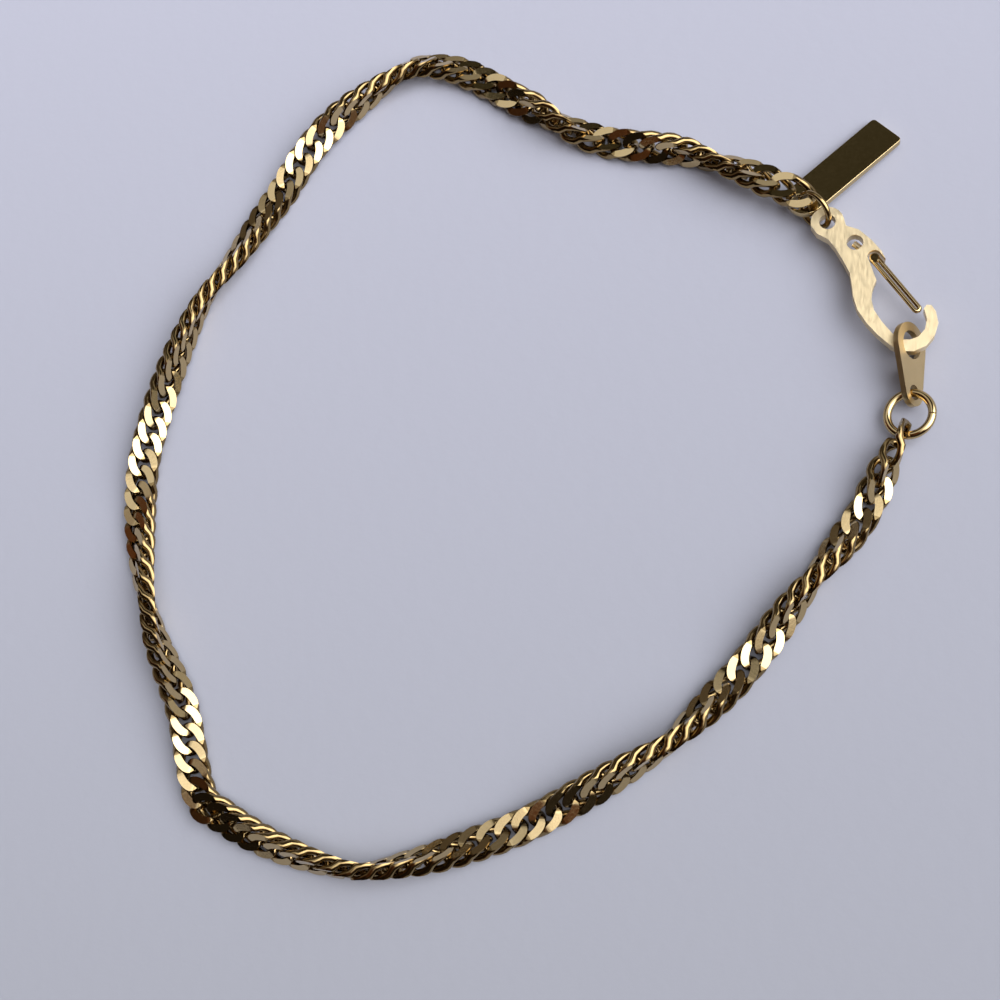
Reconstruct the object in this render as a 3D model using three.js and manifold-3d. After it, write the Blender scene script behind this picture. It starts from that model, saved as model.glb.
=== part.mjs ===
// Chain bracelet: a twisted band of flat-cut double curb links, closed by a flat hook with a wire gate.
// Millimetres, +Z up. It lies on the plane z = 0, with the origin at the bottom centre of its bounding box.
import * as THREE from "three";
import { mergeVertices } from "three/addons/utils/BufferGeometryUtils.js";
import Module from "manifold-3d";

const wasm = await Module();
wasm.setup();

// Chain
const LINK_COUNT = 125;
const LINK_WIRE = 0.54;
const LINK_REACH = 1.63; // half length of a link, to the middle of its wire
const LINK_HALF_WIDTH = 0.975; // half width of a link, to the middle of its wire
const LINK_LIFT = 0.44; // how far a link's strands rise and dip to pass over and under the next ones
const BAND_THICKNESS = 0.94; // between the two flat-cut faces
const BAND_REST = 0.09; // the links' corners reach this far below the smooth band's edge
const END_SLACK = 0.3; // extra pitch at each end link, which leaves room for its ring
const LINK_BITE = 0.0004; // mm3 that touching links share where they are joined
const LINK_STEPS = 10;
const LINK_SIDES = 5;

// Rings
const TAG_RING_WIRE = 0.46;
const TAG_RING_RADIUS = 1.42; // to the middle of the wire
const TAG_RING_HEIGHT = 1.68;
const TAG_RING_HEADING = 130;
const TAG_RING_LEAN = 17;
const TAG_RING_SHIFT = new THREE.Vector3(-0.1, 0.1, 0); // keeps the leaning ring clear of the link's end
const CLASP_RING_WIRE = 0.6;
const CLASP_RING_RADIUS = 1.575;
const CLASP_RING_HEIGHT = 1.27;
const CLASP_RING_HEADING = 80;
const CLASP_RING_TILT = 18;
const CLASP_LINK_HEADING = 64; // from the last link to the ring's centre
const CLASP_RING_SPLIT = 0.08;
const RING_BITE = 0.82; // from an end link's centre to the middle of the ring's wire

// Hook
const HOOK_THICKNESS = 0.8;
const HOOK_BASE = 1.1; // height of its underside
const HOOK_SPAN = 11.8; // from the eye's centre to the far side of the nose
const EYE_HOLE = 1.2;
const EYE_RIM = 0.6;
const TAIL_HOLE = 1.2;
const TAIL_WIRE = 0.5;
const PIVOT_HOLE = 1.0;
const SLOT_LENGTH = 2.24; // from the pivot hole, where the gate leaves it

// Gate
const GATE_WIRE = 0.34;
const GATE_START_WIDTH = 0.72;
const GATE_END_WIDTH = 0.72;
const GATE_OPENING = 18; // degrees that it swings in from the nose
const GATE_CLEARANCE = 0.12;

// Tab
const TAB_THICKNESS = 0.42;
const TAB_WIDE_HOLE = 2.1;
const TAB_WIDE_RIM = 0.62;
const TAB_NARROW_HOLE = 1.1;
const TAB_NARROW_RIM = 0.44;
const TAB_ROLL = 52;

// Tag
const TAG_WIDTH = 2.9;
const TAG_THICKNESS = 0.5;
const TAG_LENGTH = 9.73;
const TAG_HOLE = 1.4;
const TAG_HOLE_MARGIN = 0.88; // from the near end to the hole's centre
const TAG_HOLE_HEIGHT = 1.15;
const TAG_HEADING = 40.4;
const TAG_ROLL = 9; // its long side by the hook is the higher one
const TAG_CORNER = 0.3;
const TAG_NEAR_CORNER = 1.35;

// The chain's route on the table, from the first link's centre to the last one's
const CHAIN_ROUTE = [
  [21.05, 16.92], [17.3, 19.2], [13.4, 21.4], [9.0, 22.7], [5.0, 24.25],
  [1.3, 26.8], [-2.4, 29.65], [-5.3, 31.1], [-8.1, 31.25], [-11.6, 29.3],
  [-15.8, 25.9], [-19.2, 21.1], [-22.2, 16.2], [-25.1, 11.8], [-27.6, 5.2],
  [-29.2, -1.8], [-28.6, -8.1], [-27.1, -13.9], [-24.7, -19.6], [-23.2, -25.6],
  [-21.1, -27.5], [-16.5, -29.8], [-11.3, -31.25], [-6.9, -30.75], [-2.8, -29.6],
  [1.6, -27.9], [7.7, -24.75], [11.2, -22.6], [15.4, -18.6], [19.8, -13.4],
  [24.2, -8.0], [27.1, -2.7],
];

// The band's turn about its own length: share of the route, degrees from lying flat
const BAND_TWIST = [
  [0.0, -11], [0.041, 70], [0.081, 154], [0.121, 248], [0.149, 340], [0.211, 415],
  [0.269, 508], [0.350, 598], [0.439, 692], [0.516, 789], [0.584, 879], [0.692, 991],
  [0.772, 1088], [0.838, 1178], [0.885, 1268], [0.932, 1358], [0.969, 1449], [1.0, 1546],
];
const START_RISE = 1.43; // the first link lies on the tag's end, this far above the table
const START_RISE_SHARE = 0.05;

// The hook's outline from the eye's neck round the nose to the tip, and back along the inside: shares of
// HOOK_SPAN from the eye's centre
const HOOK_OUTLINE = [
  [-0.069, -0.073], [0.000, -0.122], [0.035, -0.178], [0.080, -0.272], [0.112, -0.353],
  [0.118, -0.425], [0.122, -0.508], [0.142, -0.600], [0.190, -0.690], [0.246, -0.766],
  [0.320, -0.846], [0.378, -0.886], [0.452, -0.892], [0.525, -0.862], [0.580, -0.800],
  [0.606, -0.722], [0.598, -0.647], [0.575, -0.604], [0.548, -0.600], [0.530, -0.622],
  [0.543, -0.690], [0.526, -0.755], [0.486, -0.800], [0.434, -0.816], [0.381, -0.810],
  [0.333, -0.765], [0.279, -0.686], [0.239, -0.608], [0.229, -0.540], [0.240, -0.474],
  [0.259, -0.428], [0.290, -0.386], [0.334, -0.290], [0.311, -0.226], [0.256, -0.146],
  [0.184, -0.069], [0.110, -0.036],
];
const TAIL_HOLE_PLACE = [0.156, -0.153];
const PIVOT_PLACE = [0.267, -0.257];
const GATE_END_PLACE = [0.500, -0.619];
const NOSE_PLACE = [0.432, -0.84];

const GOLD = { color: 0xcfae72, metalness: 1, roughness: 0.22 };
const SATIN = { color: 0xe0c898, metalness: 1, roughness: 0.42 };
const POLISHED = { color: 0xb9985a, metalness: 1, roughness: 0.12 };

const UP = new THREE.Vector3(0, 0, 1);
const heading = (degrees) => {
  const angle = THREE.MathUtils.degToRad(degrees);
  return new THREE.Vector3(Math.cos(angle), Math.sin(angle), 0);
};

function toSolid(geometry) {
  const bare = geometry.index ? geometry.clone() : geometry;
  bare.deleteAttribute("normal");
  bare.deleteAttribute("uv");
  const merged = mergeVertices(bare, 1e-5);
  return new wasm.Manifold(new wasm.Mesh({
    numProp: 3,
    vertProperties: merged.attributes.position.array,
    triVerts: new Uint32Array(merged.index.array),
  }));
}

function toGeometry(solid) {
  const mesh = solid.getMesh();
  const geometry = new THREE.BufferGeometry();
  geometry.setAttribute("position", new THREE.BufferAttribute(mesh.vertProperties, 3));
  geometry.setIndex(new THREE.BufferAttribute(mesh.triVerts, 1));
  geometry.computeVertexNormals();
  return geometry;
}

function namedMesh(name, geometry, look) {
  const mesh = new THREE.Mesh(geometry, new THREE.MeshStandardMaterial(look));
  mesh.name = name;
  return mesh;
}

// Chain route: places by distance along it
const route = new THREE.CatmullRomCurve3(
  CHAIN_ROUTE.map(([x, y]) => new THREE.Vector3(x, y, 0)), false, "catmullrom", 0.5);
route.arcLengthDivisions = 2000;
const routeLength = route.getLength();
const linkPitch = (routeLength - 2 * END_SLACK) / (LINK_COUNT - 1);

function bandTwist(share) {
  const last = BAND_TWIST.length - 1;
  const slope = (i) => {
    const a = BAND_TWIST[Math.max(i - 1, 0)];
    const b = BAND_TWIST[Math.min(i + 1, last)];
    return (b[1] - a[1]) / (b[0] - a[0]);
  };
  let i = 0;
  while (i < last - 1 && share > BAND_TWIST[i + 1][0]) i++;
  const [x0, y0] = BAND_TWIST[i];
  const [x1, y1] = BAND_TWIST[i + 1];
  const width = x1 - x0;
  const t = (share - x0) / width;
  if (t < 0) return y0 + slope(i) * (share - x0);
  const rest = 1 - t;
  return rest * rest * ((1 + 2 * t) * y0 + t * width * slope(i))
    + t * t * ((1 + 2 * rest) * y1 - rest * width * slope(i + 1));
}

function bandCentre(share) {
  const turn = THREE.MathUtils.degToRad(bandTwist(share));
  const edge = (LINK_HALF_WIDTH + LINK_WIRE / 2) * Math.abs(Math.sin(turn));
  const face = BAND_THICKNESS / 2 * Math.abs(Math.cos(turn));
  const rise = START_RISE * Math.max(0, 1 - (share / START_RISE_SHARE) ** 2) ** 2;
  const place = route.getPointAt(THREE.MathUtils.clamp(share, 0, 1));
  place.z = (edge ** 1.2 + face ** 1.2) ** (1 / 1.2) + BAND_REST + rise;
  return place;
}

// A link's own axes: x along the band, y across it, z out of its front face
function bandFrame(share) {
  const step = 0.002;
  const travel = bandCentre(Math.min(share + step, 1)).sub(bandCentre(Math.max(share - step, 0)));
  travel.z *= 0.35;
  travel.normalize();
  const left = new THREE.Vector3().crossVectors(UP, travel).normalize();
  const over = new THREE.Vector3().crossVectors(travel, left);
  const turn = THREE.MathUtils.degToRad(bandTwist(share));
  const across = left.multiplyScalar(Math.cos(turn)).addScaledVector(over, Math.sin(turn));
  const out = new THREE.Vector3().crossVectors(travel, across);
  return new THREE.Matrix4().makeBasis(travel, across, out).setPosition(bandCentre(share));
}

const linkShares = Array.from({ length: LINK_COUNT }, (_, i) => {
  const slack = (i > 0 ? END_SLACK : 0) + (i === LINK_COUNT - 1 ? END_SLACK : 0);
  return (i * linkPitch + slack) / routeLength;
});

// A ring of wire reshaped: its strands rise and dip in turn, and both faces of the band are cut flat.
// On its upper side it passes the link behind and the link ahead at heights of their own.
function linkGeometry(behindLift, aheadLift) {
  const geometry = new THREE.TorusGeometry(1, 0.5, LINK_SIDES, LINK_STEPS);
  const position = geometry.attributes.position;
  const point = new THREE.Vector3();
  const middle = (theta) => {
    const swing = Math.sin(2 * theta);
    const sideLift = Math.cos(theta) > 0 ? aheadLift : behindLift;
    const lift = LINK_LIFT + (sideLift - LINK_LIFT) * Math.max(0, Math.sin(theta)) ** 4;
    return new THREE.Vector3(LINK_REACH * Math.cos(theta), LINK_HALF_WIDTH * Math.sin(theta),
      -Math.sign(swing) * lift * Math.abs(swing) ** 0.75);
  };
  for (let i = 0; i < position.count; i++) {
    point.fromBufferAttribute(position, i);
    const theta = Math.atan2(point.y, point.x);
    const around = Math.atan2(point.z, Math.hypot(point.x, point.y) - 1);
    const centre = middle(theta);
    const along = middle(theta + 0.1).sub(middle(theta - 0.1)).normalize();
    const outward = new THREE.Vector3().crossVectors(along, UP).normalize();
    const upward = new THREE.Vector3().crossVectors(outward, along);
    const side = THREE.MathUtils.clamp(3 * centre.z / LINK_LIFT, -1, 1);
    const angle = around - side * Math.PI / 2 / LINK_SIDES;
    point.copy(centre);
    point.addScaledVector(outward, LINK_WIRE / 2 * Math.cos(angle));
    point.addScaledVector(upward, LINK_WIRE / 2 * Math.sin(angle));
    point.z = THREE.MathUtils.clamp(point.z, -BAND_THICKNESS / 2, BAND_THICKNESS / 2);
    position.setXYZ(i, point.x, point.y, point.z);
  }
  return geometry;
}

const linkFrames = linkShares.map(bandFrame);
const linkSolid = (i, behindLift, aheadLift) =>
  toSolid(linkGeometry(behindLift, aheadLift).applyMatrix4(linkFrames[i]));

// The strand height at which a link just bites into the next one
function touchingLift(i) {
  let biting = -LINK_LIFT;
  let clear = LINK_LIFT;
  for (let round = 0; round < 10; round++) {
    const lift = (biting + clear) / 2;
    const shared = linkSolid(i, LINK_LIFT, lift).intersect(linkSolid(i + 1, lift, LINK_LIFT)).volume();
    if (shared > LINK_BITE) biting = lift;
    else clear = lift;
  }
  return biting;
}

function chainRun(first, last) {
  const lifts = [LINK_LIFT];
  for (let i = first; i < last; i++) lifts.push(touchingLift(i));
  lifts.push(LINK_LIFT);
  const links = [];
  for (let i = first; i <= last; i++) links.push(linkSolid(i, lifts[i - first], lifts[i - first + 1]));
  return toGeometry(wasm.Manifold.union(links).simplify(0.01));
}

const halfCount = Math.ceil(LINK_COUNT / 2);

// Rings: a ring's plane holds the direction `along` and leans from upright by `lean` degrees
function ringMatrix(along, lean, centre) {
  const side = new THREE.Vector3().crossVectors(UP, along);
  const rise = UP.clone().applyAxisAngle(along, THREE.MathUtils.degToRad(lean));
  const normal = side.applyAxisAngle(along, THREE.MathUtils.degToRad(lean)).negate();
  return new THREE.Matrix4().makeBasis(along, rise, normal).setPosition(centre);
}

function ringGeometry(radius, wire, split, splitAngle) {
  const arc = 2 * Math.PI - split / radius;
  if (split === 0) return new THREE.TorusGeometry(radius, wire / 2, 6, 22);
  const path = new THREE.CatmullRomCurve3(Array.from({ length: 25 }, (_, i) => {
    const angle = splitAngle + (2 * Math.PI - arc) / 2 + arc * i / 24;
    return new THREE.Vector3(radius * Math.cos(angle), radius * Math.sin(angle), 0);
  }));
  const section = new THREE.Shape(new THREE.EllipseCurve(0, 0, wire / 2, wire / 2).getPoints(6).slice(0, 6));
  return new THREE.ExtrudeGeometry(section, { extrudePath: path, steps: 24 });
}

// Tag ring: through the first link, the tag and the hook's eye
const startTravel = route.getTangentAt(0);
const firstLink = bandCentre(0);
const ringLine = heading(TAG_RING_HEADING);
const tagRingAtLink = firstLink.clone().addScaledVector(startTravel, -RING_BITE).setZ(TAG_RING_HEIGHT);
const tagRingCentre = tagRingAtLink.addScaledVector(ringLine, -TAG_RING_RADIUS).add(TAG_RING_SHIFT);
const tagRing = namedMesh("tag_ring", ringGeometry(TAG_RING_RADIUS, TAG_RING_WIRE, 0, 0), POLISHED);
tagRing.applyMatrix4(ringMatrix(ringLine, TAG_RING_LEAN, tagRingCentre));

// Where the leaning ring passes a height, on the chain's side (1) or on the hook's (-1)
function tagRingAt(height, side) {
  const lean = THREE.MathUtils.degToRad(TAG_RING_LEAN);
  const up = (height - TAG_RING_HEIGHT) / Math.cos(lean);
  return tagRingCentre.clone().addScaledVector(ringLine, side * Math.sqrt(TAG_RING_RADIUS ** 2 - up ** 2))
    .addScaledVector(UP.clone().applyAxisAngle(ringLine, lean), up);
}

// Hook
const eyeCentre = tagRingAt(HOOK_BASE + HOOK_THICKNESS / 2, -1).setZ(0);
const hookPoint = ([x, y]) => new THREE.Vector2(x * HOOK_SPAN, y * HOOK_SPAN);
const pivot = hookPoint(PIVOT_PLACE);
const gateEnd = hookPoint(GATE_END_PLACE);
const gateLine = gateEnd.clone().sub(pivot).normalize();

function circlePath(centre, diameter, points) {
  return new THREE.Path(Array.from({ length: points }, (_, i) => {
    const angle = 2 * Math.PI * i / points;
    return new THREE.Vector2(centre.x + diameter / 2 * Math.cos(angle), centre.y + diameter / 2 * Math.sin(angle));
  }));
}

function hookSolid() {
  const eyeRadius = EYE_HOLE / 2 + EYE_RIM;
  const eye = Array.from({ length: 11 }, (_, i) => {
    const angle = THREE.MathUtils.degToRad(8 + 18 * i);
    return new THREE.Vector2(eyeRadius * Math.cos(angle), eyeRadius * Math.sin(angle));
  });
  const outline = new THREE.Shape([...eye, ...HOOK_OUTLINE.map(hookPoint)]);
  outline.holes.push(circlePath(new THREE.Vector2(), EYE_HOLE, 14));
  outline.holes.push(circlePath(hookPoint(TAIL_HOLE_PLACE), TAIL_HOLE, 14));
  outline.holes.push(circlePath(pivot, PIVOT_HOLE, 14));
  const plate = toSolid(new THREE.ExtrudeGeometry(outline, { depth: HOOK_THICKNESS, bevelEnabled: false }));

  // The slot that the gate leaves the pivot hole by, wide enough for its whole swing
  const slotHalf = GATE_START_WIDTH / 2 + GATE_CLEARANCE;
  const shut = gateLine;
  const open = shut.clone().rotateAround(new THREE.Vector2(), -THREE.MathUtils.degToRad(GATE_OPENING));
  const beside = (line, side, length) => new THREE.Vector2(-line.y, line.x).multiplyScalar(side * slotHalf)
    .addScaledVector(line, length).add(pivot);
  const slot = new THREE.Shape([
    beside(shut, 1, 0), beside(open, -1, 0), beside(open, -1, SLOT_LENGTH), beside(shut, 1, SLOT_LENGTH),
  ]);
  const slotSolid = toSolid(new THREE.ExtrudeGeometry(slot, { depth: HOOK_THICKNESS + 1, bevelEnabled: false })
    .translate(0, 0, -0.5));

  // The spring wire's tail, bent down into the second hole
  const tail = hookPoint(TAIL_HOLE_PLACE);
  const tailLength = TAIL_HOLE * 0.75;
  const towards = pivot.clone().sub(tail).normalize();
  const tailSolid = toSolid(new THREE.CylinderGeometry(TAIL_WIRE / 2, TAIL_WIRE / 2, tailLength, 8)
    .rotateZ(Math.atan2(towards.y, towards.x) - Math.PI / 2)
    .translate(tail.x + towards.x * TAIL_HOLE * 0.3, tail.y + towards.y * TAIL_HOLE * 0.3, HOOK_THICKNESS / 2));
  return plate.subtract(slotSolid).add(tailSolid);
}

const hookMatrix = new THREE.Matrix4().makeTranslation(eyeCentre.x, eyeCentre.y, HOOK_BASE);
const hookPlate = namedMesh("hook_plate", toGeometry(hookSolid()), SATIN);
hookPlate.applyMatrix4(hookMatrix);

// Gate: a hairpin of wire on a knuckle that turns in the pivot hole
function gateSolid() {
  const length = gateEnd.distanceTo(pivot);
  const endHalf = (GATE_END_WIDTH - GATE_WIRE) / 2;
  const startHalf = (GATE_START_WIDTH - GATE_WIRE) / 2;
  const side = (x, y) => new THREE.Vector3(x, y, 0);
  const hairpin = new THREE.CurvePath();
  hairpin.add(new THREE.LineCurve3(side(0, startHalf), side(length - endHalf, endHalf)));
  hairpin.add(new THREE.CatmullRomCurve3([90, 60, 30, 0, -30, -60, -90].map((angle) => {
    const turn = THREE.MathUtils.degToRad(angle);
    return side(length - endHalf + endHalf * Math.cos(turn), endHalf * Math.sin(turn));
  })));
  hairpin.add(new THREE.LineCurve3(side(length - endHalf, -endHalf), side(0, -startHalf)));
  const section = new THREE.Shape(
    new THREE.EllipseCurve(0, 0, GATE_WIRE / 2, GATE_WIRE / 2).getPoints(6).slice(0, 6));
  const wire = toSolid(new THREE.ExtrudeGeometry(section, { extrudePath: hairpin, steps: 26 }));
  const knuckle = toSolid(new THREE.CylinderGeometry(GATE_START_WIDTH / 2, GATE_START_WIDTH / 2, GATE_WIRE * 1.3, 12)
    .rotateX(Math.PI / 2));
  return wire.add(knuckle);
}

const gate = namedMesh("hook_gate", toGeometry(gateSolid()), POLISHED);
gate.applyMatrix4(new THREE.Matrix4().makeRotationZ(gateLine.angle())
  .setPosition(eyeCentre.x + pivot.x, eyeCentre.y + pivot.y, HOOK_BASE + HOOK_THICKNESS / 2));

// Clasp ring: through the last link, then through the tab's narrow hole
const endTravel = route.getTangentAt(1);
const claspRingAtLink = bandCentre(1).addScaledVector(endTravel, RING_BITE).setZ(CLASP_RING_HEIGHT);
const claspRingCentre = claspRingAtLink.addScaledVector(heading(CLASP_LINK_HEADING), CLASP_RING_RADIUS);
const claspRingAxis = heading(CLASP_RING_HEADING);
const claspRing = namedMesh("clasp_ring",
  ringGeometry(CLASP_RING_RADIUS, CLASP_RING_WIRE, CLASP_RING_SPLIT, Math.PI / 2), POLISHED);
claspRing.applyMatrix4(ringMatrix(claspRingAxis, 90 - CLASP_RING_TILT, claspRingCentre));

// Tab: from the ring to the hook's nose, rolled so that the hook's arm passes through its wide hole
const nose = hookPoint(NOSE_PLACE);
const wideCentre = new THREE.Vector3(eyeCentre.x + nose.x, eyeCentre.y + nose.y, HOOK_BASE + HOOK_THICKNESS / 2);
const narrowCentre = claspRingCentre.clone().addScaledVector(claspRingAxis, CLASP_RING_RADIUS);
const tabLine = wideCentre.clone().sub(narrowCentre);
const tabLength = tabLine.length();
tabLine.normalize();

function tabSolid() {
  const wide = TAB_WIDE_HOLE / 2 + TAB_WIDE_RIM;
  const narrow = TAB_NARROW_HOLE / 2 + TAB_NARROW_RIM;
  const lean = Math.asin((wide - narrow) / tabLength);
  const outline = new THREE.Shape();
  outline.absarc(0, 0, narrow, Math.PI / 2 + lean, Math.PI * 1.5 - lean);
  outline.absarc(tabLength, 0, wide, -Math.PI / 2 - lean, Math.PI / 2 + lean);
  outline.holes.push(circlePath(new THREE.Vector2(), TAB_NARROW_HOLE, 12));
  outline.holes.push(circlePath(new THREE.Vector2(tabLength, 0), TAB_WIDE_HOLE, 16));
  return toSolid(new THREE.ExtrudeGeometry(outline, { depth: TAB_THICKNESS, bevelEnabled: false, curveSegments: 9 })
    .translate(0, 0, -TAB_THICKNESS / 2));
}

const tabSide = new THREE.Vector3().crossVectors(UP, tabLine).normalize();
tabSide.applyAxisAngle(tabLine, THREE.MathUtils.degToRad(TAB_ROLL));
const tabFace = new THREE.Vector3().crossVectors(tabLine, tabSide);
const tab = namedMesh("tab", toGeometry(tabSolid()), SATIN);
tab.applyMatrix4(new THREE.Matrix4().makeBasis(tabLine, tabSide, tabFace).setPosition(narrowCentre));

// Tag: a plain plate whose near end hangs on the tag ring and whose far end lies on the table
function tagSolid() {
  const half = TAG_WIDTH / 2;
  const near = -TAG_HOLE_MARGIN;
  const far = TAG_LENGTH - TAG_HOLE_MARGIN;
  const outline = new THREE.Shape();
  outline.absarc(far - TAG_CORNER, half - TAG_CORNER, TAG_CORNER, 0, Math.PI / 2);
  outline.absarc(near + TAG_NEAR_CORNER, half - TAG_NEAR_CORNER, TAG_NEAR_CORNER, Math.PI / 2, Math.PI);
  outline.absarc(near + TAG_NEAR_CORNER, -half + TAG_NEAR_CORNER, TAG_NEAR_CORNER, Math.PI, Math.PI * 1.5);
  outline.absarc(far - TAG_CORNER, -half + TAG_CORNER, TAG_CORNER, -Math.PI / 2, 0);
  outline.holes.push(circlePath(new THREE.Vector2(), TAG_HOLE, 12));
  return toSolid(new THREE.ExtrudeGeometry(outline, { depth: TAG_THICKNESS, bevelEnabled: false, curveSegments: 3 })
    .translate(0, 0, -TAG_THICKNESS / 2));
}

const tagHole = tagRingAt(TAG_HOLE_HEIGHT, 1);
const tagRoll = THREE.MathUtils.degToRad(TAG_ROLL);
const tagLowSide = TAG_THICKNESS / 2 * Math.cos(tagRoll) + TAG_WIDTH / 2 * Math.sin(tagRoll);
const tagSlope = Math.asin((TAG_HOLE_HEIGHT - tagLowSide) / (TAG_LENGTH - TAG_HOLE_MARGIN));
const tag = namedMesh("tag", toGeometry(tagSolid()), POLISHED);
tag.applyMatrix4(new THREE.Matrix4().makeRotationZ(THREE.MathUtils.degToRad(TAG_HEADING))
  .multiply(new THREE.Matrix4().makeRotationY(tagSlope)).multiply(new THREE.Matrix4().makeRotationX(-tagRoll))
  .setPosition(tagHole.x, tagHole.y, TAG_HOLE_HEIGHT));

const bracelet = new THREE.Group();
bracelet.add(
  namedMesh("chain_first_half", chainRun(0, halfCount - 1), GOLD),
  namedMesh("chain_second_half", chainRun(halfCount, LINK_COUNT - 1), GOLD),
  tagRing, hookPlate, gate, claspRing, tab, tag);

export default bracelet;
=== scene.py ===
"""The look of the chain bracelet: fine flat-cut links, rings, hook, gate, tab and tag on pale paper."""
import math

import bpy
import bmesh
import numpy as np
from mathutils import Matrix, Vector


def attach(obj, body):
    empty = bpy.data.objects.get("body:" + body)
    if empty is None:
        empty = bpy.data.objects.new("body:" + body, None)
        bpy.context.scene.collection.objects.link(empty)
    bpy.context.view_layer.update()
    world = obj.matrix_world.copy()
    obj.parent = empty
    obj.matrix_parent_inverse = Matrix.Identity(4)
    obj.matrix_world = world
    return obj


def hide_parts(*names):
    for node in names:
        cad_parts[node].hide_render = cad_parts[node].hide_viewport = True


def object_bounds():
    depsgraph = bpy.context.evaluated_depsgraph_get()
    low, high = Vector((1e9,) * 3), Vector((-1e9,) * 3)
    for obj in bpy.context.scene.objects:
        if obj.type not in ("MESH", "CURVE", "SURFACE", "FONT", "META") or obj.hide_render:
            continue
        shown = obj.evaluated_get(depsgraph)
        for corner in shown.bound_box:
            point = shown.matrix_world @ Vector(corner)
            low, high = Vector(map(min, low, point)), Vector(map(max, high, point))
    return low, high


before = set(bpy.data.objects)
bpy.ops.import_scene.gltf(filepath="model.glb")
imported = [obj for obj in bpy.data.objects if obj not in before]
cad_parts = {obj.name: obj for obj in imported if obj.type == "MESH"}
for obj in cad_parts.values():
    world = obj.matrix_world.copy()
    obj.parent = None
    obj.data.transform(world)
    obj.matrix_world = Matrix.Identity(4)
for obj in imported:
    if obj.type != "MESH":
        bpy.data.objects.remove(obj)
frame_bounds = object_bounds()

MM = 0.001
PAPER_HALF = 0.6  # metres

# Chain, in millimetres
LINK_COUNT = 125
WIRE = 0.58
WIRE_BREADTH = 0.57
REACH = 1.61
BAND_HALF_WIDTH = 0.975  # the band that the links lie in, to the middle of its outer wire
BAND_EDGE = 0.27  # from there to the band's edge
LINK_HALF_WIDTH = 0.95
LIFT = 0.44
LIFT_POWER = 0.62  # below 1, a strand crosses the band more steeply in its middle
BAND_THICKNESS = 0.94
BAND_REST = 0.09
END_SLACK = 0.3
START_RISE = 1.43
START_RISE_SHARE = 0.05
CLIMB_SHARE = 0.35  # how much of its slope a link takes on where the band climbs
ROUTE = [
    (21.05, 16.92), (17.3, 19.2), (13.4, 21.4), (9.0, 22.7), (5.0, 24.25),
    (1.3, 26.8), (-2.4, 29.65), (-5.3, 31.1), (-8.1, 31.25), (-11.6, 29.3),
    (-15.8, 25.9), (-19.2, 21.1), (-22.2, 16.2), (-25.1, 11.8), (-27.6, 5.2),
    (-29.2, -1.8), (-28.6, -8.1), (-27.1, -13.9), (-24.7, -19.6), (-23.2, -25.6),
    (-21.1, -27.5), (-16.5, -29.8), (-11.3, -31.25), (-6.9, -30.75), (-2.8, -29.6),
    (1.6, -27.9), (7.7, -24.75), (11.2, -22.6), (15.4, -18.6), (19.8, -13.4),
    (24.2, -8.0), (27.1, -2.7),
]
TWIST = [
    (0.0, -11), (0.041, 70), (0.081, 154), (0.121, 248), (0.149, 340), (0.211, 415),
    (0.269, 508), (0.350, 598), (0.439, 692), (0.516, 789), (0.584, 879), (0.692, 991),
    (0.772, 1088), (0.838, 1178), (0.885, 1268), (0.932, 1358), (0.969, 1449), (1.0, 1546),
]

# Rings and gate, in millimetres
RING_WIRE = 0.44
RING_RADIUS = 1.40
RING_CENTRE = Vector((22.563, 15.506, 1.68))
RING_HEADING, RING_LEAN = 130, 17
CLASP_WIRE = 0.6
CLASP_RADIUS = 1.575
CLASP_CENTRE = Vector((28.184, -0.565, 1.27))
CLASP_HEADING, CLASP_LEAN = 80, 72
CLASP_SPLIT = 0.08
GATE_WIRE = 0.34
GATE_STEPS = 24
BEND_STEPS = 12
KNUCKLE_STEPS = 32
KNUCKLE_EDGE = 0.07
GATE_PIVOT = Vector((26.577, 11.36, 1.5))
GATE_END = Vector((29.326, 7.089, 1.5))
GATE_WIDTH = 0.72


# ---- Materials

def new_group(name, inputs, outputs):
    tree = bpy.data.node_groups.new(name, "ShaderNodeTree")
    for label, kind, value in inputs:
        socket = tree.interface.new_socket(label, in_out="INPUT", socket_type=kind)
        socket.default_value = value
    for label, kind in outputs:
        tree.interface.new_socket(label, in_out="OUTPUT", socket_type=kind)
    return tree, tree.nodes.new("NodeGroupInput"), tree.nodes.new("NodeGroupOutput")


def add(tree, kind, **values):
    node = tree.nodes.new(kind)
    for name, value in values.items():
        setattr(node, name, value)
    return node


def noise_node(tree, coordinates, scale, detail=3.0):
    noise = add(tree, "ShaderNodeTexNoise")
    noise.inputs["Scale"].default_value = scale
    noise.inputs["Detail"].default_value = detail
    tree.links.new(coordinates, noise.inputs["Vector"])
    return noise


def ramp_range(tree, value, low, high):
    spread = add(tree, "ShaderNodeMapRange")
    spread.inputs["From Min"].default_value = 0.3
    spread.inputs["From Max"].default_value = 0.7
    tree.links.new(value, spread.inputs["Value"])
    for source, socket in ((low, "To Min"), (high, "To Max")):
        if isinstance(source, (int, float)):
            spread.inputs[socket].default_value = source
        else:
            tree.links.new(source, spread.inputs[socket])
    return spread.outputs["Result"]


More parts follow.
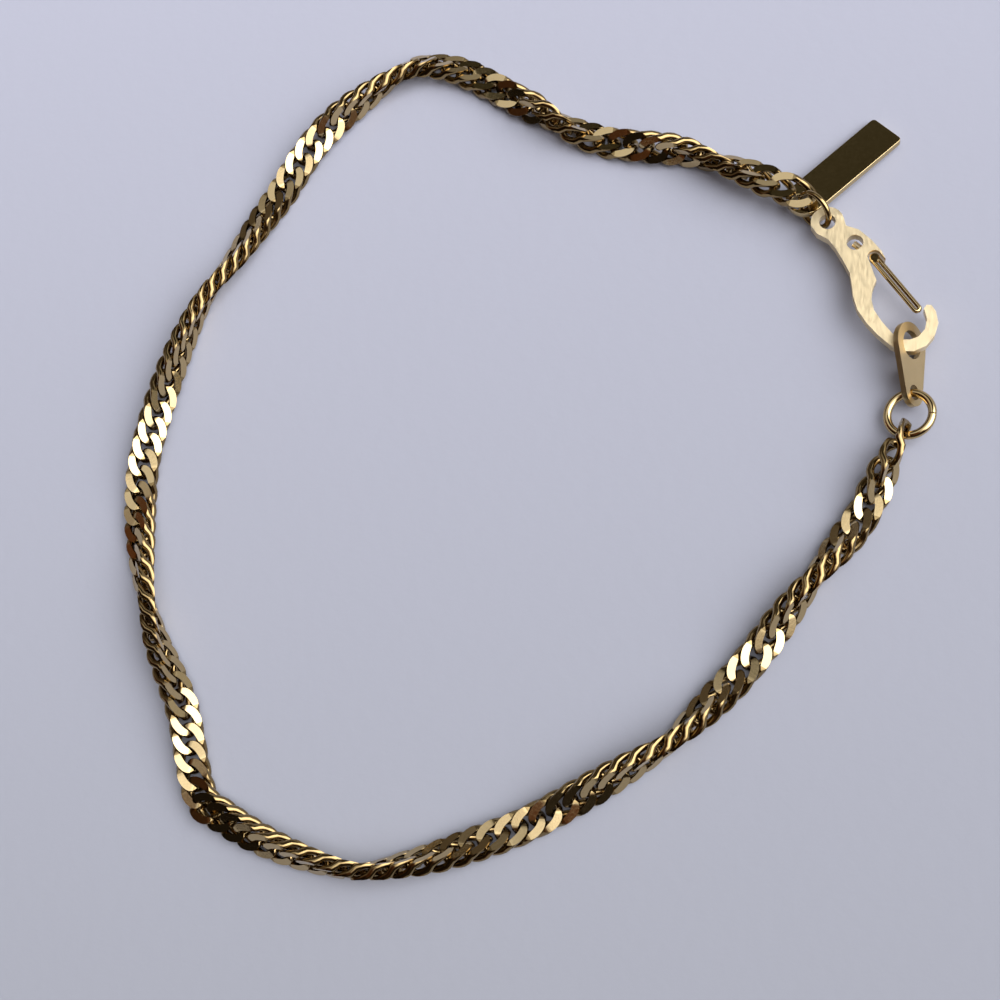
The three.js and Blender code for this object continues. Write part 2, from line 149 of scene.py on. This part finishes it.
# Gold as it wears: slightly uneven colour, roughness that varies, and shallow scratches
gold_group, gold_in, gold_out = new_group("worn_gold", [
    ("Colour", "NodeSocketColor", (0.6, 0.45, 0.2, 1)),
    ("Deep colour", "NodeSocketColor", (0.4, 0.28, 0.1, 1)),
    ("Roughness low", "NodeSocketFloat", 0.1),
    ("Roughness high", "NodeSocketFloat", 0.2),
    ("Bump", "NodeSocketFloat", 0.1),
    ("Grain", "NodeSocketVector", (1.0, 1.0, 1.0)),
], [("Colour", "NodeSocketColor"), ("Roughness", "NodeSocketFloat"), ("Normal", "NodeSocketVector")])
gold_place = add(gold_group, "ShaderNodeTexCoord")
patch = noise_node(gold_group, gold_place.outputs["Object"], 700)
stretch = add(gold_group, "ShaderNodeVectorMath", operation="MULTIPLY")
gold_group.links.new(gold_place.outputs["Object"], stretch.inputs[0])
gold_group.links.new(gold_in.outputs["Grain"], stretch.inputs[1])
fine = noise_node(gold_group, stretch.outputs[0], 6000, 5.0)
tint = add(gold_group, "ShaderNodeMix", data_type="RGBA")
gold_group.links.new(patch.outputs["Fac"], tint.inputs["Factor"])
gold_group.links.new(gold_in.outputs["Colour"], tint.inputs["A"])
gold_group.links.new(gold_in.outputs["Deep colour"], tint.inputs["B"])
rough = ramp_range(gold_group, fine.outputs["Fac"], gold_in.outputs["Roughness low"],
                   gold_in.outputs["Roughness high"])
bump = add(gold_group, "ShaderNodeBump")
bump.inputs["Distance"].default_value = 0.00001
gold_group.links.new(gold_in.outputs["Bump"], bump.inputs["Strength"])
gold_group.links.new(fine.outputs["Fac"], bump.inputs["Height"])
gold_group.links.new(tint.outputs["Result"], gold_out.inputs["Colour"])
gold_group.links.new(rough, gold_out.inputs["Roughness"])
gold_group.links.new(bump.outputs["Normal"], gold_out.inputs["Normal"])


def metal(name, colour, deep, roughness, bump_strength, grain=(1.0, 1.0, 1.0), painted_side_shade=None):
    material = bpy.data.materials.new(name)
    material.use_nodes = True
    tree = material.node_tree
    shader = tree.nodes["Principled BSDF"]
    shader.inputs["Metallic"].default_value = 1.0
    worn = add(tree, "ShaderNodeGroup", node_tree=gold_group)
    worn.inputs["Colour"].default_value = (*colour, 1)
    worn.inputs["Deep colour"].default_value = (*deep, 1)
    worn.inputs["Roughness low"].default_value = roughness[0]
    worn.inputs["Roughness high"].default_value = roughness[1]
    worn.inputs["Bump"].default_value = bump_strength
    worn.inputs["Grain"].default_value = grain
    tree.links.new(worn.outputs["Colour"], shader.inputs["Base Color"])
    # Faces without the cut_face mark (the rounded wire sides) take a darker gold: painted shade and
    # dark reflection in the crevices between links, partly tarnish
    if painted_side_shade:
        cut = add(tree, "ShaderNodeAttribute", attribute_name="cut_face")
        sides = add(tree, "ShaderNodeMix", data_type="RGBA")
        sides.inputs["A"].default_value = (*painted_side_shade, 1)
        tree.links.new(cut.outputs["Fac"], sides.inputs["Factor"])
        tree.links.new(worn.outputs["Colour"], sides.inputs["B"])
        tree.links.new(sides.outputs["Result"], shader.inputs["Base Color"])
    tree.links.new(worn.outputs["Roughness"], shader.inputs["Roughness"])
    tree.links.new(worn.outputs["Normal"], shader.inputs["Normal"])
    return material


# The chain's side colour is painted shade: link sides darker than the bright cut faces
chain_gold = metal("chain_gold", (0.56, 0.43, 0.23), (0.46, 0.34, 0.17), (0.08, 0.16), 0.2,
                   painted_side_shade=(0.27, 0.19, 0.085))
satin_gold = metal("satin_gold", (0.90, 0.75, 0.48), (0.82, 0.66, 0.40), (0.30, 0.46), 1.0,
                   grain=(1.0, 0.25, 1.0))
tab_gold = metal("tab_gold", (0.60, 0.46, 0.25), (0.50, 0.37, 0.18), (0.30, 0.44), 0.8)
polished_gold = metal("polished_gold", (0.60, 0.46, 0.24), (0.52, 0.38, 0.18), (0.05, 0.12), 0.08)
# A darker copy of polished gold for the tag ring: painted shade standing in for the dark reflections on
# its round wire
ring_gold_painted_dark = metal("ring_gold_painted_dark", (0.40, 0.29, 0.13), (0.32, 0.22, 0.09), (0.06, 0.14), 0.1)
tag_gold = metal("tag_gold", (0.60, 0.47, 0.25), (0.54, 0.41, 0.20), (0.10, 0.18), 0.05)


# ---- Chain

route_points = np.array(ROUTE)


def route_at(t):
    """Point of the route's smooth curve at parameter t, 0 to 1."""
    spans = len(route_points) - 1
    place = min(max(t, 0.0), 1.0) * spans
    i = min(int(place), spans - 1)
    w = place - i
    p1, p2 = route_points[i], route_points[i + 1]
    p0 = route_points[i - 1] if i > 0 else 2 * p1 - p2
    p3 = route_points[i + 2] if i + 2 <= spans else 2 * p2 - p1
    m1, m2 = 0.5 * (p2 - p0), 0.5 * (p3 - p1)
    return ((2 * w**3 - 3 * w**2 + 1) * p1 + (w**3 - 2 * w**2 + w) * m1
            + (-2 * w**3 + 3 * w**2) * p2 + (w**3 - w**2) * m2)


steps_t = np.linspace(0, 1, 2001)
steps_xy = np.array([route_at(t) for t in steps_t])
steps_length = np.concatenate([[0], np.cumsum(np.linalg.norm(np.diff(steps_xy, axis=0), axis=1))])
route_length = steps_length[-1]
pitch = (route_length - 2 * END_SLACK) / (LINK_COUNT - 1)


def twist_slope(i):
    a, b = TWIST[max(i - 1, 0)], TWIST[min(i + 1, len(TWIST) - 1)]
    return (b[1] - a[1]) / (b[0] - a[0])


def band_turn(share):
    """The band's turn about its own length at a share of the route, in radians."""
    i = 0
    while i < len(TWIST) - 2 and share > TWIST[i + 1][0]:
        i += 1
    (x0, y0), (x1, y1) = TWIST[i], TWIST[i + 1]
    width = x1 - x0
    t = (share - x0) / width
    rest = 1 - t
    degrees = (rest * rest * ((1 + 2 * t) * y0 + t * width * twist_slope(i))
               + t * t * ((1 + 2 * rest) * y1 - rest * width * twist_slope(i + 1)))
    return math.radians(degrees)


def band_centre(share):
    share = min(max(share, 0.0), 1.0)
    x, y = route_at(np.interp(share * route_length, steps_length, steps_t))
    turn = band_turn(share)
    edge = (BAND_HALF_WIDTH + BAND_EDGE) * abs(math.sin(turn))
    face = BAND_THICKNESS / 2 * abs(math.cos(turn))
    rise = START_RISE * max(0, 1 - (share / START_RISE_SHARE) ** 2) ** 2
    return Vector((x, y, (edge**1.2 + face**1.2) ** (1 / 1.2) + BAND_REST + rise))


def band_frame(share):
    """A link's own axes as a matrix: x along the band, y across it, z out of its front face."""
    travel = band_centre(share + 0.002) - band_centre(share - 0.002)
    travel.z *= CLIMB_SHARE
    travel.normalize()
    left = Vector((0, 0, 1)).cross(travel).normalized()
    over = travel.cross(left)
    turn = band_turn(share)
    across = left * math.cos(turn) + over * math.sin(turn)
    out = travel.cross(across)
    place = Matrix((travel, across, out)).transposed().to_4x4()
    place.translation = band_centre(share)
    return place


def swept(centres, normals, sections):
    """Closed tube mesh: each section's points lie along its centre's outward and upward normals."""
    count, sides = len(centres), len(sections[0])
    verts, faces = [], []
    for centre, (outward, upward), section in zip(centres, normals, sections):
        verts += [centre + outward * a + upward * b for a, b in section]
    for i in range(count):
        j = (i + 1) % count
        for k in range(sides):
            m = (k + 1) % sides
            faces.append((i * sides + k, j * sides + k, j * sides + m, i * sides + m))
    return verts, faces


def link_mesh(steps=48, arc_points=5):
    """One link: a wire loop whose strands rise and dip, with both faces of the band cut flat."""
    cut = BAND_THICKNESS / 2
    radius = WIRE / 2

    def middle(theta):
        swing = math.sin(2 * theta)
        return Vector((REACH * math.cos(theta), LINK_HALF_WIDTH * math.sin(theta),
                       -math.copysign(LIFT * abs(swing) ** LIFT_POWER, swing)))

    centres, normals, sections = [], [], []
    for i in range(steps):
        theta = 2 * math.pi * i / steps
        centre = middle(theta)
        along = (middle(theta + 0.06) - middle(theta - 0.06)).normalized()
        outward = along.cross(Vector((0, 0, 1))).normalized()
        upward = outward.cross(along)
        reach = radius * upward.z
        top = math.acos(min(1, max(-1, (cut - centre.z) / reach)))
        bottom = math.acos(min(1, max(-1, (cut + centre.z) / reach)))
        top, bottom = max(top, 0.09), max(bottom, 0.09)
        angles = list(np.linspace(math.pi / 2 - top, -math.pi / 2 + bottom, arc_points + 2))
        angles += list(np.linspace(-math.pi / 2 - bottom, -3 * math.pi / 2 + top, arc_points + 2))
        section = []
        for angle in angles:
            a, b = WIRE_BREADTH / 2 * math.cos(angle), radius * math.sin(angle)
            height = centre.z + b * upward.z
            if abs(height) > cut:
                b = (math.copysign(cut, height) - centre.z) / upward.z
            section.append((a, b))
        centres.append(centre)
        normals.append((outward, upward))
        sections.append(section)
    return swept(centres, normals, sections)


def make_object(name, verts, faces, material, smooth=35):
    mesh = bpy.data.meshes.new(name)
    mesh.from_pydata([Vector(v) * MM for v in verts], [], faces)
    mesh.validate()
    shaper = bmesh.new()
    shaper.from_mesh(mesh)
    bmesh.ops.recalc_face_normals(shaper, faces=shaper.faces)
    shaper.to_mesh(mesh)
    shaper.free()
    mesh.shade_smooth()
    mesh.set_sharp_from_angle(angle=math.radians(smooth))
    mesh.materials.append(material)
    made = bpy.data.objects.new(name, mesh)
    bpy.context.scene.collection.objects.link(made)
    return made


def settle(made, name):
    """Give an object the plain mesh that its modifiers make of it, and remove them."""
    view = bpy.context.evaluated_depsgraph_get()
    mesh = bpy.data.meshes.new_from_object(
        made.evaluated_get(view), preserve_all_data_layers=True, depsgraph=view)
    made.modifiers.clear()
    made.data = mesh
    mesh.name = name
    return mesh


def chain():
    link = make_object("link_shape", *link_mesh(), chain_gold)
    # Marks the flat-cut faces; the chain material paints all other faces darker as painted shade
    cut = BAND_THICKNESS / 2 * MM * 0.999
    link.data.attributes.new("cut_face", "FLOAT", "FACE").data.foreach_set(
        "value", [float(abs(face.center.z) > cut) for face in link.data.polygons])
    places = bpy.data.meshes.new("chain")
    centres, turns = [], []
    for i in range(LINK_COUNT):
        slack = (END_SLACK if i > 0 else 0) + (END_SLACK if i == LINK_COUNT - 1 else 0)
        place = band_frame((i * pitch + slack) / route_length)
        centres.append(place.translation * MM)
        turns += list(place.to_euler())
    places.from_pydata(centres, [], [])
    places.attributes.new("turn", "FLOAT_VECTOR", "POINT").data.foreach_set("vector", turns)
    made = bpy.data.objects.new("chain", places)
    bpy.context.scene.collection.objects.link(made)

    tree = bpy.data.node_groups.new("links_on_route", "GeometryNodeTree")
    tree.interface.new_socket("Geometry", in_out="INPUT", socket_type="NodeSocketGeometry")
    tree.interface.new_socket("Geometry", in_out="OUTPUT", socket_type="NodeSocketGeometry")
    start, end = tree.nodes.new("NodeGroupInput"), tree.nodes.new("NodeGroupOutput")
    shape = tree.nodes.new("GeometryNodeObjectInfo")
    shape.inputs["Object"].default_value = link
    turn = add(tree, "GeometryNodeInputNamedAttribute", data_type="FLOAT_VECTOR")
    turn.inputs["Name"].default_value = "turn"
    rotation = tree.nodes.new("FunctionNodeEulerToRotation")
    scatter = tree.nodes.new("GeometryNodeInstanceOnPoints")
    solid = tree.nodes.new("GeometryNodeRealizeInstances")
    look = tree.nodes.new("GeometryNodeSetMaterial")
    look.inputs["Material"].default_value = chain_gold
    for a, b in (
        (start.outputs["Geometry"], scatter.inputs["Points"]),
        (shape.outputs["Geometry"], scatter.inputs["Instance"]),
        (turn.outputs["Attribute"], rotation.inputs["Euler"]),
        (rotation.outputs["Rotation"], scatter.inputs["Rotation"]),
        (scatter.outputs["Instances"], solid.inputs["Geometry"]),
        (solid.outputs["Geometry"], look.inputs["Geometry"]),
        (look.outputs["Geometry"], end.inputs["Geometry"]),
    ):
        tree.links.new(a, b)
    modifier = made.modifiers.new("links", "NODES")
    modifier.node_group = tree
    mesh = settle(made, "chain")
    # The outermost links' rims stay within the frame's box, and so on the paper
    rims = np.empty(len(mesh.vertices) * 3)
    mesh.vertices.foreach_get("co", rims)
    mesh.vertices.foreach_set("co", np.clip(rims.reshape(-1, 3), *frame_bounds).ravel())
    mesh.update()
    bpy.data.objects.remove(link)
    bpy.data.meshes.remove(places)
    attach(made, "bracelet")
    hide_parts("chain_first_half", "chain_second_half")
    return made


chain()


# ---- Rings and gate

def tube(path, wire, closed, sides=20):
    """Round wire along a path of points, with flat ends when it isn't closed."""
    verts, faces = [], []
    count = len(path)
    normal = (path[1] - path[0]).orthogonal().normalized()
    for i, point in enumerate(path):
        ahead = path[(i + 1) % count] if closed or i < count - 1 else point
        behind = path[i - 1] if closed or i > 0 else point
        along = (ahead - behind).normalized()
        normal = (normal - along * normal.dot(along)).normalized()
        side = along.cross(normal)
        for k in range(sides):
            angle = 2 * math.pi * k / sides
            verts.append(point + (normal * math.cos(angle) + side * math.sin(angle)) * wire / 2)
    for i in range(count if closed else count - 1):
        j = (i + 1) % count
        for k in range(sides):
            m = (k + 1) % sides
            faces.append((i * sides + k, j * sides + k, j * sides + m, i * sides + m))
    if not closed:
        faces.append(tuple(range(sides)))
        faces.append(tuple((count - 1) * sides + k for k in range(sides)))
    return verts, faces


def ring_path(centre, heading, lean, radius, gap, steps=96):
    """Points of a ring whose plane holds its heading and leans from upright."""
    along = Vector((math.cos(math.radians(heading)), math.sin(math.radians(heading)), 0))
    rise = Matrix.Rotation(math.radians(lean), 3, along) @ Vector((0, 0, 1))
    start = math.pi / 2 + gap / radius / 2
    arc = 2 * math.pi - gap / radius
    last = steps if gap else steps - 1
    angles = [start + arc * i / steps for i in range(last + 1)]
    return [centre + (along * math.cos(angle) + rise * math.sin(angle)) * radius for angle in angles]


def fitted(made, node, body):
    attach(made, body)
    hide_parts(node)


tag_ring_path = ring_path(RING_CENTRE, RING_HEADING, RING_LEAN, RING_RADIUS, 0)
tag_ring = make_object("tag_ring_round", *tube(tag_ring_path, RING_WIRE, True), ring_gold_painted_dark)
fitted(tag_ring, "tag_ring", "bracelet")
clasp_ring_path = ring_path(CLASP_CENTRE, CLASP_HEADING, CLASP_LEAN, CLASP_RADIUS, CLASP_SPLIT)
clasp_ring = make_object("clasp_ring_round", *tube(clasp_ring_path, CLASP_WIRE, False), polished_gold)
fitted(clasp_ring, "clasp_ring", "bracelet")


def gate_shape():
    """Hairpin of wire, with a knuckle across its two ends that turns in the pivot hole."""
    line = (GATE_END - GATE_PIVOT)
    length = line.length
    line.normalize()
    side = Vector((0, 0, 1)).cross(line)
    half_width = (GATE_WIDTH - GATE_WIRE) / 2
    bend = length - half_width
    strand = [line * (bend * i / GATE_STEPS) for i in range(GATE_STEPS)]
    path = [point + side * half_width for point in strand]
    for i in range(BEND_STEPS + 1):
        angle = math.pi * i / BEND_STEPS
        path.append(line * (bend + half_width * math.sin(angle)) + side * half_width * math.cos(angle))
    path += [point - side * half_width for point in reversed(strand)]
    verts, faces = tube([GATE_PIVOT + p for p in path], GATE_WIRE, False, 16)
    half = GATE_WIRE * 0.65
    profile = [(0.8, half), (1.0, half - KNUCKLE_EDGE), (1.0, KNUCKLE_EDGE - half), (0.8, -half)]
    first = len(verts)
    for share, height in profile:
        for k in range(KNUCKLE_STEPS):
            angle = 2 * math.pi * k / KNUCKLE_STEPS
            radius = GATE_WIDTH / 2 * share
            place = Vector((radius * math.cos(angle), radius * math.sin(angle), height))
            verts.append(GATE_PIVOT + place)
    for level in range(3):
        start = first + level * KNUCKLE_STEPS
        for k in range(KNUCKLE_STEPS):
            a, b = start + k, start + (k + 1) % KNUCKLE_STEPS
            faces.append((a, b, b + KNUCKLE_STEPS, a + KNUCKLE_STEPS))
    faces.append(tuple(first + k for k in range(KNUCKLE_STEPS)))
    faces.append(tuple(first + 3 * KNUCKLE_STEPS + k for k in range(KNUCKLE_STEPS)))
    return verts, faces


gate = make_object("gate_round", *gate_shape(), polished_gold)
fitted(gate, "hook_gate", "gate")


# ---- Plates: the frame's own solids with their stamped edges softened

def softened(node, material, body, width, name):
    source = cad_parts[node]
    shape = source.data.copy()
    shape.transform(source.matrix_world)
    shaper = bmesh.new()
    shaper.from_mesh(shape)
    bmesh.ops.remove_doubles(shaper, verts=shaper.verts, dist=1e-7)
    bmesh.ops.dissolve_limit(
        shaper, angle_limit=math.radians(1), verts=shaper.verts, edges=shaper.edges)
    shaper.to_mesh(shape)
    shaper.free()
    shape.materials.clear()
    shape.materials.append(material)
    shape.shade_smooth()
    made = bpy.data.objects.new(name, shape)
    bpy.context.scene.collection.objects.link(made)
    bevel = made.modifiers.new("edge", "BEVEL")
    bevel.width = width * MM
    bevel.segments = 2
    bevel.limit_method = "ANGLE"
    bevel.angle_limit = math.radians(50)
    weighted = made.modifiers.new("flat_faces", "WEIGHTED_NORMAL")
    weighted.weight = 100
    weighted.thresh = 0.01
    settle(made, name)
    bpy.data.meshes.remove(shape)
    fitted(made, node, body)


softened("hook_plate", satin_gold, "bracelet", 0.06, "hook_plate_soft")
softened("tab", tab_gold, "bracelet", 0.05, "tab_soft")
softened("tag", tag_gold, "bracelet", 0.04, "tag_soft")


# ---- Paper, light and camera

paper = bpy.data.materials.new("paper")
paper.use_nodes = True
paper_tree = paper.node_tree
paper_shader = paper_tree.nodes["Principled BSDF"]
paper_shader.inputs["Roughness"].default_value = 0.9
paper_place = add(paper_tree, "ShaderNodeTexCoord")
paper_split = add(paper_tree, "ShaderNodeSeparateXYZ")
paper_tree.links.new(paper_place.outputs["Object"], paper_split.inputs["Vector"])
# The paper's colour runs from darker at the front (-y) to lighter at the back: painted shade for the
# fall-off of light across the paper
paper_painted_falloff = add(paper_tree, "ShaderNodeMapRange")
paper_painted_falloff.inputs["From Min"].default_value = -0.045
paper_painted_falloff.inputs["From Max"].default_value = 0.045
paper_tree.links.new(paper_split.outputs["Y"], paper_painted_falloff.inputs["Value"])
paper_painted_shade = add(paper_tree, "ShaderNodeMix", data_type="RGBA")
paper_painted_shade.inputs["A"].default_value = (0.29, 0.30, 0.345, 1)
paper_painted_shade.inputs["B"].default_value = (0.40, 0.41, 0.495, 1)
paper_tree.links.new(paper_painted_falloff.outputs["Result"], paper_painted_shade.inputs["Factor"])
paper_fibre = noise_node(paper_tree, paper_place.outputs["Object"], 900, 6.0)
paper_bump = add(paper_tree, "ShaderNodeBump")
paper_bump.inputs["Strength"].default_value = 0.25
paper_bump.inputs["Distance"].default_value = 0.0001
paper_tree.links.new(paper_fibre.outputs["Fac"], paper_bump.inputs["Height"])
paper_tree.links.new(paper_bump.outputs["Normal"], paper_shader.inputs["Normal"])
paper_tree.links.new(paper_painted_shade.outputs["Result"], paper_shader.inputs["Base Color"])

floor_mesh = bpy.data.meshes.new("paper_floor")
corners = [(-PAPER_HALF, -PAPER_HALF, 0), (PAPER_HALF, -PAPER_HALF, 0),
           (PAPER_HALF, PAPER_HALF, 0), (-PAPER_HALF, PAPER_HALF, 0)]
floor_mesh.from_pydata(corners, [], [(0, 1, 2, 3)])
floor_mesh.materials.append(paper)
floor = bpy.data.objects.new("paper_floor", floor_mesh)
bpy.context.scene.collection.objects.link(floor)

world = bpy.data.worlds.new("room")
bpy.context.scene.world = world
world.use_nodes = True
sky = world.node_tree
background = sky.nodes["Background"]
sky_place = add(sky, "ShaderNodeTexCoord")


def patch_of_light(direction, inner, outer):
    """1 inside a cone about a direction, 0 outside its outer edge; both edges are given as cosines."""
    aim = Vector(direction).normalized()
    dot = add(sky, "ShaderNodeVectorMath", operation="DOT_PRODUCT")
    sky.links.new(sky_place.outputs["Generated"], dot.inputs[0])
    dot.inputs[1].default_value = aim
    spread = add(sky, "ShaderNodeMapRange")
    spread.inputs["From Min"].default_value = outer
    spread.inputs["From Max"].default_value = inner
    sky.links.new(dot.outputs["Value"], spread.inputs["Value"])
    return spread.outputs["Result"]


def mixed(factor, under, over):
    mix = add(sky, "ShaderNodeMix", data_type="RGBA")
    sky.links.new(factor, mix.inputs["Factor"])
    for value, socket in ((under, "A"), (over, "B")):
        if isinstance(value, tuple):
            mix.inputs[socket].default_value = value
        else:
            sky.links.new(value, mix.inputs[socket])
    return mix.outputs["Result"]


height = add(sky, "ShaderNodeSeparateXYZ")
sky.links.new(sky_place.outputs["Generated"], height.inputs["Vector"])
colour = mixed(height.outputs["Z"], (0.30, 0.29, 0.28, 1), (1.15, 1.17, 1.22, 1))
# Patches of the room: bright ceiling, two dark corners with brown rims, a dim side, the window, and
# the dark that the tag reflects
for direction, inner, outer, glow in (
    ((-0.02, -0.12, 0.99), 0.99, 0.955, (2.6, 2.6, 2.65, 1)),
    ((-0.75, -0.45, 0.45), 0.72, 0.60, (0.13, 0.05, 0.02, 1)),
    ((0.15, -0.90, 0.35), 0.80, 0.68, (0.13, 0.05, 0.02, 1)),
    ((-0.75, -0.45, 0.45), 0.90, 0.78, (0.015, 0.012, 0.01, 1)),
    ((0.15, -0.90, 0.35), 0.92, 0.84, (0.03, 0.025, 0.02, 1)),
    ((-0.50, 0.80, 0.25), 0.92, 0.75, (0.12, 0.10, 0.08, 1)),
    ((0.64, -0.05, 0.77), 0.94, 0.76, (5.5, 5.5, 5.6, 1)),
    ((0.14, 0.62, 0.77), 0.96, 0.90, (0.05, 0.045, 0.03, 1)),
):
    colour = mixed(patch_of_light(direction, inner, outer), colour, glow)
sky.links.new(colour, background.inputs["Color"])
background.inputs["Strength"].default_value = 1.0

camera_data = bpy.data.cameras.new("camera")
camera_data.lens = 54
camera_data.sensor_width = 36
camera_data.clip_start = 0.005
camera_data.clip_end = 5
camera = bpy.data.objects.new("camera", camera_data)
bpy.context.scene.collection.objects.link(camera)
right = Vector((0.98205, 0.0, -0.18864)).normalized()
back = Vector((0.18117, -0.27852, 0.94319)).normalized()
up = back.cross(right)
pose = Matrix((right, up, back)).transposed().to_4x4()
pose.translation = Vector((18.73, -35.57, 104.03)) * MM
camera.matrix_world = pose
bpy.context.scene.camera = camera
bpy.context.scene.view_settings.view_transform = "Standard"
